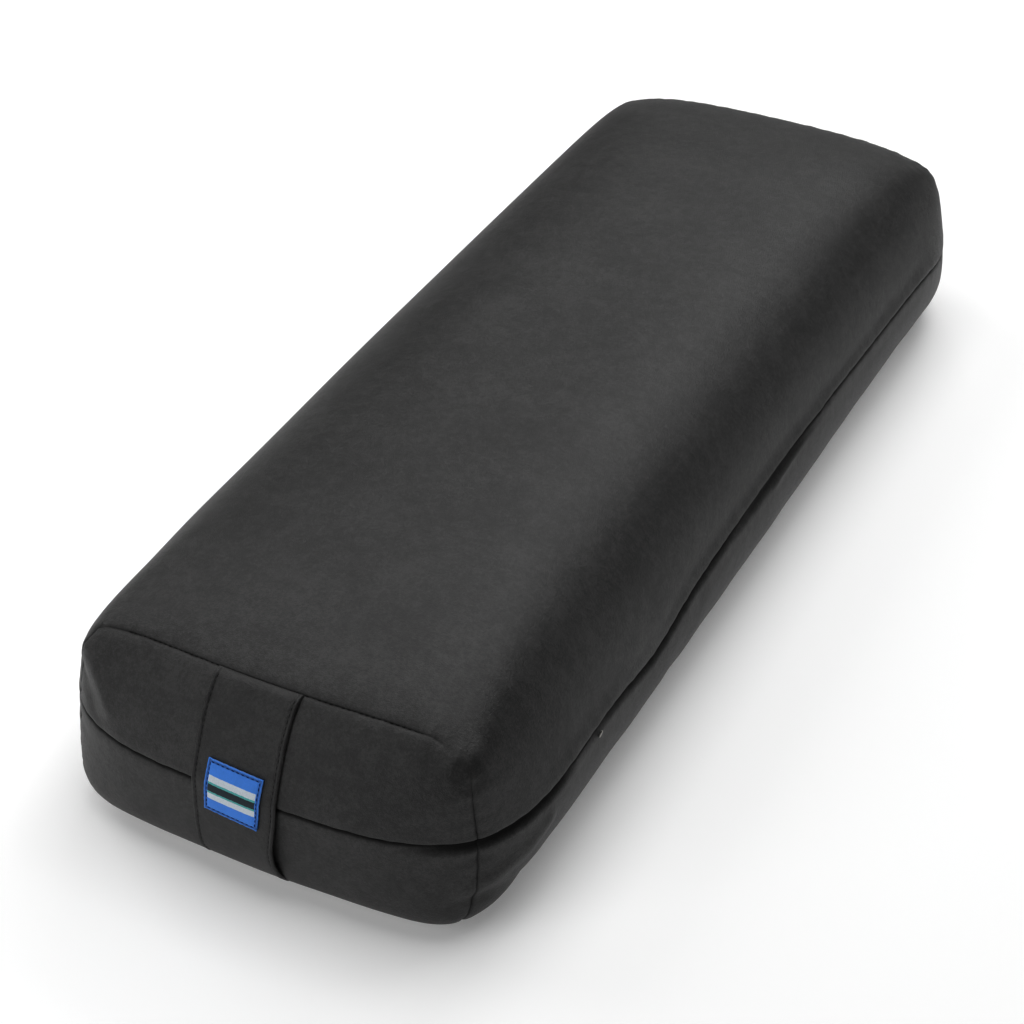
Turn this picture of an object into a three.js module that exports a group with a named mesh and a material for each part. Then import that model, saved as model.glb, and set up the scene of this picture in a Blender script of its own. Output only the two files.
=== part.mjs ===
import * as THREE from 'three';

// Rectangular yoga bolster, filled and lying on its flat underside.
// Millimetres, +Z up. The long axis is Y, and the end with the handle strap faces -Y.
// The origin is on the floor, under the middle of the whole part.

// Filled cover, measured at the mid seam
const halfWidth = 125.4;
const halfLength = 325;
const seamHeight = 60;
const seamCornerRadius = 104;
const cornerPower = 3.66; // a corner is |u|^p + |v|^p = 1, squarer than a circle
const sideWaist = 0.048; // share of the width lost at mid-length
const endBow = 0.027; // share of the length gained in the middle of each end
const rimBow = 0.01; // what the end's top seam gains besides
const farEndFlare = 0.015; // the far end is wider by this share, and the near end narrower

// Where a side's filling pushes out: from no strength at height `none` to its full strength at height `full`
const sideBulges = [
  { side: -1, y: 70, spread: 150, push: 3.6, none: 20, full: 70 },
  { side: -1, y: -60, spread: 95, push: 2.2, none: 20, full: 70 },
  { side: 1, y: -10, spread: 185, push: 4.4, none: 60, full: 35 },
];

// Top panel: its rim, and the crown that the filling raises over it
const rimHeight = 81;
const crownRise = 41.5;
const crownPowerAcross = 5;
const crownPowerAlong = 10;

// How far the outline draws in from the mid seam to the rim, and to the flat of the underside
const halves = {
  upper: { sideInset: 27.6, endInset: 29.6, sideRound: 1.5, endRound: 1.68, cornerRadius: 5 },
  lower: { sideInset: 48.6, endInset: 70.7, sideRound: 2.57, endRound: 5, cornerRadius: 20 },
};

// Sewn seams: how deep each is drawn in, and the distance over which that fades
const midSeam = { depth: 3, fade: 3.5 };
const topSeam = { depth: 1.6, fade: 0.05 }; // faded over levels, not millimetres
const cornerSeam = { depth: 1.8, fade: 5 };

// The mid seam's rise and fall along the right side, where it wanders
const seamWander = [
  { y: -150, rise: -8, spread: 35 },
  { y: 20, rise: 3.5, spread: 95 },
  { y: 285, rise: -6, spread: 32 },
];

// Stretches where the top panel overhangs the lower one: under the zip's lip and round the near right corner
const overhangs = [
  { x: 125, y: -72, reachX: 30, reachY: 148, depth: 3.2, fade: 9 },
  { x: 116, y: -288, reachX: 34, reachY: 40, depth: 5, fade: 13 },
];

// Handle strap, label and zip pull, all placed on the cover
const strapWidth = 45;
const strapCentreX = -4.5;
const strapThickness = 2;
const strapSeat = 0.6; // gap between the strap's sewn ends and the cover
// Its lower half bellies off the cover, most at its right edge: middle and spread are shares of its length
const strapBelly = { middle: 0.72, spread: 0.147, lift: 1.5, twist: 1.3 };
const strapLowLevel = -0.9;
const strapRows = 17;
const labelRows = { first: 6, count: 4 }; // the strap's rows that the label covers
const labelInset = 7.8; // from each long edge of the strap
const labelThickness = 1;
const pieceGap = 0.4;
const zipPull = { width: 2.4, length: 4.6, thickness: 1, seat: 0.5 };
const zipPlace = { share: -0.706, topLevel: -0.045, lowLevel: -0.12 }; // where it hangs on the right side

// Mesh rows and columns
const levels = [
  -1, -0.97, -0.93, -0.87, -0.79, -0.69, -0.57, -0.45, -0.33, -0.22, -0.135, -0.07, -0.028,
  0, 0.07, 0.18, 0.32, 0.46, 0.6, 0.72, 0.82, 0.9, 0.96, 1,
];
const crownRings = [0.93, 0.83, 0.7, 0.54, 0.36, 0.18, 0]; // shares of the rim's size
const columnStep = strapWidth / 4;
const straightHalf = 52; // end columns within this of the middle stay upright
const cornerShares = [0.24, 0.46, 0.66, 0.83, 0.94, 1];
const sideColumns = 32;

// Sizes of the outline at a level: -1 is the underside's flat, 0 the mid seam, 1 the rim
function ringAt(level) {
  const half = level < 0 ? halves.lower : halves.upper;
  const height = Math.abs(level);
  const inset = (round) => 1 - Math.max(1 - height ** round, 0) ** (1 / round);
  return {
    width: halfWidth - half.sideInset * inset(half.sideRound),
    length: halfLength - half.endInset * inset(half.endRound),
    radius: seamCornerRadius + (half.cornerRadius - seamCornerRadius) * height ** 2,
    z: level < 0 ? seamHeight * (1 + level) : seamHeight + (rimHeight - seamHeight) * level,
    crown: level > 0 ? height ** 2 * (3 - 2 * height) : 0,
  };
}

// Distance to the outline's far side, across from a point that is `along` from the middle
function outlineReach(along, alongHalf, acrossHalf, radius) {
  const past = (Math.abs(along) - (alongHalf - radius)) / radius;
  if (past <= 0) return acrossHalf;
  return acrossHalf - radius + radius * Math.max(1 - past ** cornerPower, 0) ** (1 / cornerPower);
}

const cornerCut = 1 - 0.5 ** (1 / cornerPower);
const cornerX = (ring) => ring.width - ring.radius * cornerCut;
const cornerY = (ring) => ring.length - ring.radius * cornerCut;
const seamCornerX = cornerX(ringAt(0));

// Where an end column that stands at x on the mid seam stands on another ring
function endColumnX(x, ring) {
  const past = Math.abs(x) - straightHalf;
  if (past <= 0) return x;
  const share = past / (seamCornerX - straightHalf);
  return Math.sign(x) * (straightHalf + share * (cornerX(ring) - straightHalf));
}

// Crown, waist, bulges, bow and flare, which turn a plan point of the outline into a point of the cover
function fill(x, y, z, crown) {
  const across = Math.abs(x / halfWidth);
  const along = Math.abs(y / halfLength);
  const rise = Math.max(1 - across ** crownPowerAcross, 0) * Math.max(1 - along ** crownPowerAlong, 0);
  const waist = 1 - sideWaist * (1 - along ** 2);
  const height = z + crownRise * rise * crown;
  let pushed = 1;
  for (const bulge of sideBulges) {
    const strength = THREE.MathUtils.clamp((height - bulge.none) / (bulge.full - bulge.none), 0, 1);
    const near = Math.exp(-(((y - bulge.y) / bulge.spread) ** 2));
    if (x * bulge.side > 0) pushed += (bulge.push / halfWidth) * strength * near;
  }
  return new THREE.Vector3(
    x * waist * (1 + (farEndFlare * y) / halfLength) * pushed,
    y * (1 + (endBow + rimBow * crown) * (1 - Math.min(across, 1) ** 2)),
    height,
  );
}

function seamRise(point) {
  if (point.x < 0) return 0;
  const side = Math.min(point.x / halfWidth, 1) ** 4;
  const rises = seamWander.map((bump) => bump.rise * Math.exp(-(((point.y - bump.y) / bump.spread) ** 2)));
  return side * rises.reduce((sum, rise) => sum + rise);
}

// Point of the smooth cover at a column and a level
function coverPoint(column, level) {
  const ring = ringAt(level);
  let x;
  let y;
  if (column.end) {
    x = endColumnX(column.x, ring);
    y = column.end * outlineReach(x, ring.width, ring.length, ring.radius);
  } else {
    y = cornerY(ring) * column.share;
    x = column.side * outlineReach(y, ring.length, ring.width, ring.radius);
  }
  const point = fill(x, y, ring.z, ring.crown);
  point.z += seamRise(point) * (1 - Math.abs(level)) ** 2;
  return point;
}

// Columns of the cover, anticlockwise from the near left corner seam
function coverColumns() {
  const outer = cornerShares.map((share) => straightHalf + share * (seamCornerX - straightHalf));
  const inner = [];
  for (let x = strapCentreX - 4 * columnStep; x < straightHalf; x += columnStep) inner.push(x);
  const endXs = [...outer.map((x) => -x).reverse(), ...inner, ...outer];
  const shares = [];
  for (let i = 1; i < sideColumns; i += 1) {
    const step = (2 * i) / sideColumns - 1;
    shares.push(0.35 * step + 0.65 * Math.sin((step * Math.PI) / 2));
  }
  return [
    ...endXs.map((x) => ({ end: -1, x })),
    ...shares.map((share) => ({ side: 1, share })),
    ...endXs.toReversed().map((x) => ({ end: 1, x })),
    ...shares.toReversed().map((share) => ({ side: -1, share })),
  ];
}

// How far the sewing draws a point of the cover inwards
function seamDepth(column, level, point) {
  const fromMid = point.z - seamHeight - seamRise(point);
  let depth = midSeam.depth * Math.exp(-Math.abs(fromMid) / midSeam.fade);
  for (const over of overhangs) {
    const away = ((point.x - over.x) / over.reachX) ** 4 + ((point.y - over.y) / over.reachY) ** 4;
    if (fromMid < 1) depth += over.depth * Math.exp(-away - Math.abs(fromMid) / over.fade);
  }
  const cornerColumn = { end: point.y < 0 ? -1 : 1, x: point.x < 0 ? -seamCornerX : seamCornerX };
  const corner = coverPoint(cornerColumn, level);
  const cornerDraw = cornerSeam.depth * Math.exp(-point.distanceTo(corner) / cornerSeam.fade);
  const topDraw = column.end ? topSeam.depth * Math.exp((level - 1) / topSeam.fade) : 0;
  return depth + Math.max(cornerDraw, topDraw);
}

// A column about a millimetre further round, anticlockwise for a positive step
function nextTo(column, step) {
  if (column.end) return { end: column.end, x: column.x - column.end * step };
  return { side: column.side, share: column.share + (column.side * step) / halfLength };
}

// Point of the sewn cover: the smooth one, drawn in along the surface's own normal
function sewnPoint(column, level) {
  const point = coverPoint(column, level);
  const along = coverPoint(nextTo(column, 1), level).sub(coverPoint(nextTo(column, -1), level));
  const up = coverPoint(column, Math.min(level + 0.01, 1)).sub(coverPoint(column, level - 0.01));
  const inwards = up.cross(along).normalize();
  return point.addScaledVector(inwards, seamDepth(column, level, point));
}

// Closed mesh from rows of points, each an anticlockwise loop, from the lowest up. The first and the last row
// are folded flat onto a middle line: points that coincide there are shared, and empty triangles left out.
function loftedSolid(rows) {
  const columns = rows[0].length;
  const points = [];
  const known = new Map();
  const numberOf = (point) => {
    const key = point.toArray().map((value) => value.toFixed(4)).join();
    if (!known.has(key)) known.set(key, points.push(point) - 1);
    return known.get(key);
  };
  const grid = rows.map((row) => row.map(numberOf));
  const index = [];
  const addTriangle = (a, b, c) => {
    if (a !== b && b !== c && c !== a) index.push(a, b, c);
  };
  for (let row = 0; row < rows.length - 1; row += 1) {
    for (let i = 0; i < columns; i += 1) {
      const next = (i + 1) % columns;
      addTriangle(grid[row][i], grid[row][next], grid[row + 1][next]);
      addTriangle(grid[row][i], grid[row + 1][next], grid[row + 1][i]);
    }
  }
  const geometry = new THREE.BufferGeometry().setFromPoints(points);
  geometry.setIndex(index);
  geometry.computeVertexNormals();
  return geometry;
}

// The filled cover: underside, walls and crown
function bolsterGeometry() {
  const columns = coverColumns();
  const walls = levels.slice(1).map((level) => columns.map((column) => sewnPoint(column, level)));
  const ridge = 1 - halfWidth / halfLength;
  const rowInside = (level, share) => columns.map((column) => {
    const rim = ringAt(level);
    const x = column.end ? endColumnX(column.x, rim) : column.side * rim.width;
    const y = column.end ? column.end * rim.length : cornerY(rim) * column.share;
    return fill(x * share, y * (ridge + share * (1 - ridge)), rim.z, rim.crown);
  });
  return loftedSolid([
    rowInside(-1, 0),
    columns.map((column) => coverPoint(column, -1)),
    ...walls,
    ...crownRings.map((share) => rowInside(1, share)),
  ]);
}

// The near end's profile at x, from the rim down to the strap's foot, as evenly spaced points
function strapLine(x) {
  const column = { end: -1, x };
  const steps = 200;
  const line = new THREE.CurvePath();
  let last = coverPoint(column, 1);
  for (let i = 1; i <= steps; i += 1) {
    const next = coverPoint(column, 1 - ((1 - strapLowLevel) * i) / steps);
    line.add(new THREE.LineCurve3(last, next));
    last = next;
  }
  return line.getSpacedPoints(strapRows);
}

// Rows of points at a distance off the cover, which is a function of the row and of x
function offCover(xs, distance) {
  const lines = xs.map(strapLine);
  return lines[0].map((unused, row) => lines.map((line, i) => {
    const before = line[Math.max(row - 1, 0)];
    const after = line[Math.min(row + 1, strapRows)];
    const outwards = new THREE.Vector3(0, before.z - after.z, after.y - before.y).normalize().negate();
    return line[row].clone().addScaledVector(outwards, distance(row, xs[i]));
  }));
}

// Closed band between an inner and an outer sheet of points, both given row by row from the top
function bandSolid(inner, outer) {
  const loops = inner.map((row, r) => [...outer[r], ...row.toReversed()]);
  const columns = loops[0].length;
  const across = inner[0].length;
  const index = [];
  for (let row = 0; row < loops.length - 1; row += 1) {
    for (let i = 0; i < columns; i += 1) {
      const a = row * columns + i;
      const b = row * columns + ((i + 1) % columns);
      index.push(a, b + columns, b, a, a + columns, b + columns);
    }
  }
  const last = (loops.length - 1) * columns;
  for (let i = 0; i < across - 1; i += 1) {
    const [a, b, c, d] = [i, i + 1, columns - 2 - i, columns - 1 - i];
    index.push(a, b, c, a, c, d);
    index.push(last + a, last + c, last + b, last + a, last + d, last + c);
  }
  const geometry = new THREE.BufferGeometry().setFromPoints(loops.flat());
  geometry.setIndex(index);
  geometry.computeVertexNormals();
  return geometry;
}

const strapXs = [-2, -1, 0, 1, 2].map((step) => strapCentreX + step * columnStep);

// Gap between the strap and the cover
function strapGap(row, x) {
  const { middle, spread, lift, twist } = strapBelly;
  const across = (x - strapCentreX) / (strapWidth / 2);
  return strapSeat + (lift + twist * across) * Math.exp(-(((row / strapRows - middle) / spread) ** 2));
}

function strapGeometry() {
  const outer = offCover(strapXs, (row, x) => strapGap(row, x) + strapThickness);
  return bandSolid(offCover(strapXs, strapGap), outer);
}

function labelGeometry() {
  const xs = [strapXs[0] + labelInset, ...strapXs.slice(1, 4), strapXs[4] - labelInset];
  const seat = (row, x) => strapGap(row, x) + strapThickness + pieceGap;
  const rows = (sheet) => sheet.slice(labelRows.first, labelRows.first + labelRows.count + 1);
  return bandSolid(rows(offCover(xs, seat)), rows(offCover(xs, (row, x) => seat(row, x) + labelThickness)));
}

// Tip of the zip's pull: a small plate with a round lower end, hanging down the wall under the lip
function zipPullGeometry() {
  const half = zipPull.width / 2;
  const outline = new THREE.Shape();
  outline.moveTo(-half, 0);
  outline.lineTo(-half, half - zipPull.length);
  outline.absarc(0, half - zipPull.length, half, Math.PI, 2 * Math.PI);
  outline.lineTo(half, 0);
  const extrusion = { depth: zipPull.thickness, bevelEnabled: false, curveSegments: 5 };
  const plate = new THREE.ExtrudeGeometry(outline, extrusion);
  const column = { side: 1, share: zipPlace.share };
  const top = sewnPoint(column, zipPlace.topLevel);
  const up = top.clone().sub(sewnPoint(column, zipPlace.lowLevel)).normalize();
  const outwards = new THREE.Vector3(1, 0, 0).projectOnPlane(up).normalize();
  const along = new THREE.Vector3().crossVectors(up, outwards);
  plate.applyMatrix4(new THREE.Matrix4().makeBasis(along, up, outwards).setPosition(top));
  return plate.translate(outwards.x * zipPull.seat, 0, outwards.z * zipPull.seat);
}

const clothLook = { color: 0x3b3a3a, roughness: 0.95, metalness: 0 };
const looks = {
  cloth: new THREE.MeshStandardMaterial(clothLook),
  strap: new THREE.MeshStandardMaterial(clothLook),
  label: new THREE.MeshStandardMaterial({ color: 0x1f5fc4, roughness: 0.7, metalness: 0 }),
  pull: new THREE.MeshStandardMaterial({ color: 0xc9c9c4, roughness: 0.35, metalness: 0.9 }),
};

function piece(name, geometry, look) {
  const mesh = new THREE.Mesh(geometry, look);
  mesh.name = name;
  return mesh;
}

const bolster = piece('bolster', bolsterGeometry(), looks.cloth);
const strap = piece('handle_strap', strapGeometry(), looks.strap);
const label = piece('label', labelGeometry(), looks.label);
const pull = piece('zip_pull', zipPullGeometry(), looks.pull);

const part = new THREE.Group();
part.add(bolster, strap, label, pull);
const middle = new THREE.Box3().setFromObject(part).getCenter(new THREE.Vector3());
part.position.set(-middle.x, -middle.y, 0);

export default part;
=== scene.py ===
import math

import bpy
import numpy as np
from mathutils import Matrix, Vector


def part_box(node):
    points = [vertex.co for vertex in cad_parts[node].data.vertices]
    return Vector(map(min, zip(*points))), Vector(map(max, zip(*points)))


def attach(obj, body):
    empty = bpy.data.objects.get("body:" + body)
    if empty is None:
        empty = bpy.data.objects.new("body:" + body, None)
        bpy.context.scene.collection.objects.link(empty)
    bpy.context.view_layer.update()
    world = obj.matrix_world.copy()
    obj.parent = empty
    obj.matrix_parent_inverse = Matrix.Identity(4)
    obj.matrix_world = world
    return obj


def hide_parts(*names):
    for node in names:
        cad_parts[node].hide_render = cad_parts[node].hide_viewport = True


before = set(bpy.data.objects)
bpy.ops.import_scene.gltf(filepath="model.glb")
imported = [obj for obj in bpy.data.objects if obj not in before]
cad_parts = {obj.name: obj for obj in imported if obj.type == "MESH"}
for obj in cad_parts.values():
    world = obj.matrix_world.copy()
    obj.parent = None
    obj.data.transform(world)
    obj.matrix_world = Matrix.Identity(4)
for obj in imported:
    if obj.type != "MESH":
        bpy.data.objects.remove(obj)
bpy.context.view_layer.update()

mm = 0.001  # settings are in millimetres, except the floor's and the lamps', which are in metres
coverLow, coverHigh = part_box("bolster")
coverMiddle = np.array([(coverLow.x + coverHigh.x) / 2, (coverLow.y + coverHigh.y) / 2, 0]) / mm


# meshes

def addObject(name, data):
    made = bpy.data.objects.new(name, data)
    bpy.context.scene.collection.objects.link(made)
    return made


# Points of a grid that coincide are one vertex: gives them in metres, with each grid point's vertex number
def welded(grid, origin=coverMiddle):
    points = (grid.reshape(-1, 3) + origin) * mm
    first, number = np.unique(np.round(points / 1e-7).astype(np.int64), axis=0, return_index=True,
                              return_inverse=True)[1:]
    return points[first], number.reshape(grid.shape[:-1])


# Closed surface from loops of points. grid is (surfaces, rows, columns, 3) in millimetres: each row is a
# loop that runs anticlockwise seen from where the next row lies. Rows folded flat at either end close the
# surface, because points that coincide are joined and the sides of no length dropped. uv is (surfaces,
# rows, columns + 1, 2), and shade, (surfaces, rows, columns), is how much painted shade the seams'
# crevices and lips put on each point.
def meshFromLoops(name, grid, material, uv=None, shade=None):
    points, number = welded(grid)
    after = np.roll(number, -1, axis=2)
    corners = np.stack([number[:, :-1], after[:, :-1], after[:, 1:], number[:, 1:]], axis=-1).reshape(-1, 4)
    kept = corners != np.roll(corners, -1, axis=1)
    kept[kept.sum(1) < 3] = False
    sides = kept.sum(1)
    sides = sides[sides > 0]
    mesh = bpy.data.meshes.new(name)
    mesh.vertices.add(len(points))
    mesh.vertices.foreach_set("co", points.ravel())
    mesh.loops.add(int(sides.sum()))
    mesh.loops.foreach_set("vertex_index", corners[kept])
    mesh.polygons.add(len(sides))
    mesh.polygons.foreach_set("loop_start", np.concatenate([[0], np.cumsum(sides)[:-1]]))
    mesh.polygons.foreach_set("loop_total", sides)
    mesh.polygons.foreach_set("use_smooth", np.ones(len(sides), bool))
    if uv is not None:
        faceUv = np.stack([uv[:, :-1, :-1], uv[:, :-1, 1:], uv[:, 1:, 1:], uv[:, 1:, :-1]], axis=3)
        mesh.uv_layers.new(name="weave").data.foreach_set("uv", faceUv.reshape(-1, 4, 2)[kept].ravel())
    if shade is not None:
        values = np.zeros(len(points))
        values[number] = shade
        mesh.attributes.new("seamShade", "FLOAT", "POINT").data.foreach_set("value", values)
    mesh.update(calc_edges=True)
    mesh.validate()
    if material:
        mesh.materials.append(material)
    return addObject(name, mesh)


def coordinates(mesh):
    values = np.empty(len(mesh.vertices) * 3)
    mesh.vertices.foreach_get("co", values)
    return values.reshape(-1, 3)


def evaluatedMesh(piece):
    graph = bpy.context.evaluated_depsgraph_get()
    graph.update()
    return bpy.data.meshes.new_from_object(piece.evaluated_get(graph))


def lengthsAlong(points, axis):
    steps = np.linalg.norm(np.diff(points, axis=axis), axis=-1)
    start = np.zeros_like(np.take(steps, [0], axis=axis))
    return np.concatenate([start, np.cumsum(steps, axis=axis)], axis=axis)


def unit(vectors):
    return vectors / np.maximum(np.linalg.norm(vectors, axis=-1, keepdims=True), 1e-9)


# Sum of sine waves of uneven lengths, near 1 in height: what ripples along a seam or over a panel
def ripple(along, wavelengths, seed):
    phases = np.random.default_rng(seed).uniform(0, 2 * np.pi, len(wavelengths))
    waves = [np.sin(2 * np.pi * along / length + phase) for length, phase in zip(wavelengths, phases)]
    return sum(waves) / len(waves) ** 0.5


# Loops of a thin sheet: a middle surface (rows, columns, 3) with its normals, thickened by half a
# thickness each way, which falls to nothing at the border as a quarter round does. Its weave runs across
# and along the sheet.
def sheetLoops(middle, normals, half):
    outer, inner = middle + normals * half[..., None], middle - normals * half[..., None]
    loops = np.concatenate([outer, inner[:, -2:0:-1]], axis=1)
    across, along = lengthsAlong(outer, 1), lengthsAlong(outer, 0)
    back = slice(-2, 0, -1)
    across = np.concatenate([across, across[:, back], across[:, :1]], axis=1)
    along = np.concatenate([along, along[:, back], along[:, :1]], axis=1)
    return loops[None], np.stack([across, along], -1)[None]


# Half thickness at places across and along a rectangle: a quarter round within `rounding` of an edge
def roundedHalf(across, along, size, thickness, rounding):
    fromEdge = np.minimum(size[0] / 2 - np.abs(across), size[1] / 2 - np.abs(along))
    share = np.clip(1 - fromEdge / rounding, 0, 1)
    return thickness / 2 * (1 - share ** 2) ** 0.5


# Places from -size/2 to size/2, with rows close together at both edges for their rounding
def edgedPlaces(size, rounding, count):
    edge = rounding * np.array([0, 0.08, 0.25, 0.5, 0.75, 1])
    inner = np.linspace(-size / 2 + rounding, size / 2 - rounding, count)[1:-1]
    return np.concatenate([edge - size / 2, inner, (size / 2 - edge)[::-1]])


# Stitches along a line, one every `pitch`: each a small lens of thread, thickness sqrt(1 - share^2) at a
# share of its half length, with its ends bent down into the cloth
def stitchLoops(line, normals, pitch, length, thickness):
    arc = lengthsAlong(line, 0)
    count = int(arc[-1] / pitch)
    places = (np.arange(count) + 0.5) * arc[-1] / count

    def at(values, spots):
        return np.stack([np.interp(spots, arc, values[:, axis]) for axis in range(3)], -1)

    centre, out = at(line, places), unit(at(normals, places))
    near = 0.4  # millimetres to either side, for the line's direction
    tangent = unit(at(line, places + near) - at(line, places - near))
    across = unit(np.cross(out, tangent))
    share = np.array([-1, -0.75, 0, 0.75, 1])[None, :, None, None]
    turn = np.linspace(0, 2 * np.pi, 6, endpoint=False)[None, None, :, None]
    radius = thickness / 2 * np.sqrt(1 - share ** 2)
    centre, out, tangent, across = (values[:, None, None] for values in (centre, out, tangent, across))
    bent = 0.3 * thickness * share ** 2
    return (centre + tangent * share * length / 2 + out * (np.sin(turn) * radius - bent)
            + across * np.cos(turn) * radius)


# shader sums

class Signal:  # a socket that takes part in Python sums: each operator adds a Math node
    def __init__(self, shader, socket):
        self.shader, self.socket = shader, socket

    def sum(self, operation, *terms):
        inputs = dict(enumerate(terms))
        return self.shader.node("ShaderNodeMath", {"operation": operation}, inputs)["Value"]

    def __add__(self, other): return self.sum("ADD", self, other)
    def __sub__(self, other): return self.sum("SUBTRACT", self, other)
    def __mul__(self, other): return self.sum("MULTIPLY", self, other)
    def __rsub__(self, other): return self.sum("SUBTRACT", other, self)
    def __lt__(self, other): return self.sum("LESS_THAN", self, other)
    __radd__, __rmul__ = __add__, __mul__

    def sin(self): return self.sum("SINE", self)
    def abs(self): return self.sum("ABSOLUTE", self)
    def least(self, other): return self.sum("MINIMUM", self, other)


class Shader:  # one material's nodes
    def __init__(self, name):
        self.material = bpy.data.materials.new(name)
        self.material.use_nodes = True
        self.tree = self.material.node_tree
        self.tree.nodes.clear()

    # A node of a type: its settings first, then a value or a link for each of its sockets
    def node(self, kind, settings=None, inputs=None):
        made = self.tree.nodes.new(kind)
        for key, value in (settings or {}).items():
            if key == "stops":
                for stop, (position, colour) in zip(self.stopsFor(made, len(value)), value):
                    stop.position, stop.color = position, colour
            else:
                setattr(made, key, value)
        for key, value in (inputs or {}).items():
            if isinstance(value, Signal):
                self.tree.links.new(value.socket, made.inputs[key])
            else:
                made.inputs[key].default_value = value
        return {socket.name: Signal(self, socket) for socket in reversed(made.outputs) if socket.enabled}

    def stopsFor(self, ramp, count):
        elements = ramp.color_ramp.elements
        while len(elements) < count:
            elements.new(0.5)
        return elements

    def noise(self, vector, size, detail, roughness):  # size is a blob's width in millimetres
        inputs = {"Vector": vector, "Scale": 1 / (size * mm), "Detail": detail, "Roughness": roughness}
        return self.node("ShaderNodeTexNoise", {}, inputs)["Fac"]

    def mix(self, factor, first, second):  # sockets 6 and 7 are the node's two colours
        return self.node("ShaderNodeMix", {"data_type": "RGBA"}, {0: factor, 6: first, 7: second})["Result"]

    def bump(self, height, distance):  # distance is how far a height of 1 rises, in millimetres
        inputs = {"Height": height, "Distance": distance * mm, "Strength": 1.0}
        return self.node("ShaderNodeBump", {}, inputs)["Normal"]

    def finish(self, **inputs):
        named = {key.replace("_", " "): value for key, value in inputs.items()}
        surface = self.node("ShaderNodeBsdfPrincipled", {}, named)["BSDF"]
        self.node("ShaderNodeOutputMaterial", {}, {"Surface": surface})
        return self.material

    def place(self):  # the piece's own coordinates, in metres
        return self.node("ShaderNodeTexCoord")["Object"]

    def weave(self):  # the cloth's own coordinates, in millimetres along the weft and the warp
        uv = self.node("ShaderNodeUVMap", {"uv_map": "weave"})["UV"]
        parts = self.node("ShaderNodeSeparateXYZ", {}, {"Vector": uv})
        return parts["X"], parts["Y"]


# camera and studio

# the place is in millimetres from the middle of the cover's foot, and the angles are in degrees
view = dict(place=(444, -961.6, 781.6), azimuth=26.41, elevation=36.47, roll=0.613, lens=82.23)
studio = dict(
    floor=0.8, floorHalf=6.0, floorHeight=-0.0003, glow=0.24,  # a lit table top, so it glows a little
    surround=0.0, gamma=0.8, aim=(0, 0, 0.05),  # every lamp points at the aim
    lamps=dict(
        behind=dict(place=(-0.3, 1.3, 2.2), size=(1.6, 1.6), power=6.5),
        backMid=dict(place=(0.05, 1.9, 1.6), size=(0.8, 0.8), power=12),
        backLow=dict(place=(-0.75, 1.9, 1.5), size=(0.8, 0.8), power=5),
        rightStrip=dict(place=(0.45, 0.45, 0.9), size=(0.4, 1.0), power=2),
        nearFront=dict(place=(-0.3, -1.0, 0.5), size=(0.6, 0.6), power=2.9),
        left=dict(place=(-1.9, 0.2, 1.4), size=(1.6, 1.6), power=18),
        above=dict(place=(0, 0, 2.2), size=(2.0, 2.0), power=28),
    ),
)


def placeCamera():
    azimuth, elevation, roll = (math.radians(view[key]) for key in ("azimuth", "elevation", "roll"))
    back = Vector((math.sin(azimuth) * math.cos(elevation), -math.cos(azimuth) * math.cos(elevation),
                   math.sin(elevation)))
    level = Vector((math.cos(azimuth), math.sin(azimuth), 0))
    upright = back.cross(level)
    right = level * math.cos(roll) + upright * math.sin(roll)
    up = upright * math.cos(roll) - level * math.sin(roll)
    camera = addObject("camera", bpy.data.cameras.new("camera"))
    turn = Matrix((right, up, back)).transposed().to_4x4()
    camera.matrix_world = Matrix.Translation((Vector(view["place"]) + Vector(coverMiddle)) * mm) @ turn
    camera.data.lens = view["lens"]
    camera.data.clip_start, camera.data.clip_end = 0.01, 100
    bpy.context.scene.camera = camera


def addLight(name, place, size, power):
    light = bpy.data.lights.new(name, "AREA")
    light.shape, light.size, light.size_y, light.energy = "RECTANGLE", size[0], size[1], power
    lamp = addObject(name, light)
    lamp.location = place
    lamp.rotation_euler = (Vector(studio["aim"]) - lamp.location).to_track_quat("-Z", "Y").to_euler()


def lightStudio():
    shader = Shader("studioWhite")
    white = shader.finish(Base_Color=(studio["floor"],) * 3 + (1,), Roughness=1.0, Specular_IOR_Level=0.0,
                          Emission_Color=(1, 1, 1, 1), Emission_Strength=studio["glow"])
    half = studio["floorHalf"]
    mesh = bpy.data.meshes.new("floor")
    corners = [(-half, -half, 0), (half, -half, 0), (half, half, 0), (-half, half, 0)]
    mesh.from_pydata(corners, [], [(0, 1, 2, 3)])
    mesh.materials.append(white)
    floor = addObject("floor", mesh)
    floor.location.z = studio["floorHeight"]
    for name, lamp in studio["lamps"].items():
        addLight(name, **lamp)
    world = bpy.data.worlds.new("studio")
    bpy.context.scene.world = world
    world.use_nodes = True
    background = world.node_tree.nodes["Background"].inputs
    background["Color"].default_value = (1, 1, 1, 1)
    background["Strength"].default_value = studio["surround"]
    settings = bpy.context.scene.view_settings
    settings.view_transform, settings.look = "Standard", "None"
    settings.exposure, settings.gamma = 0, studio["gamma"]


placeCamera()
lightStudio()
print("studio ready")


# cloths

def shaded(colour, factor=1.0):
    return tuple(part * factor for part in colour) + (1,)


# Brushed cotton: its tone is the sum of four sizes of mottling, from clouds to single fibres, and its
# relief is the finer three with a faint twill. Where the seamShade attribute says, it takes painted shade
# and goes dull: the shade in the seams' crevices and under their lips.
cotton = dict(
    tones=((0.0, (0.0125, 0.0124, 0.0123)), (0.5, (0.0215, 0.0213, 0.0211)), (1.0, (0.036, 0.0356, 0.0352))),
    # the first colour below is painted shade, for the seams' crevices and under their lips
    seam=(0.002, 0.002, 0.002), twillPitch=1.1, twillSlope=0.7, twillWander=2.4, relief=0.3,
)


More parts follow.
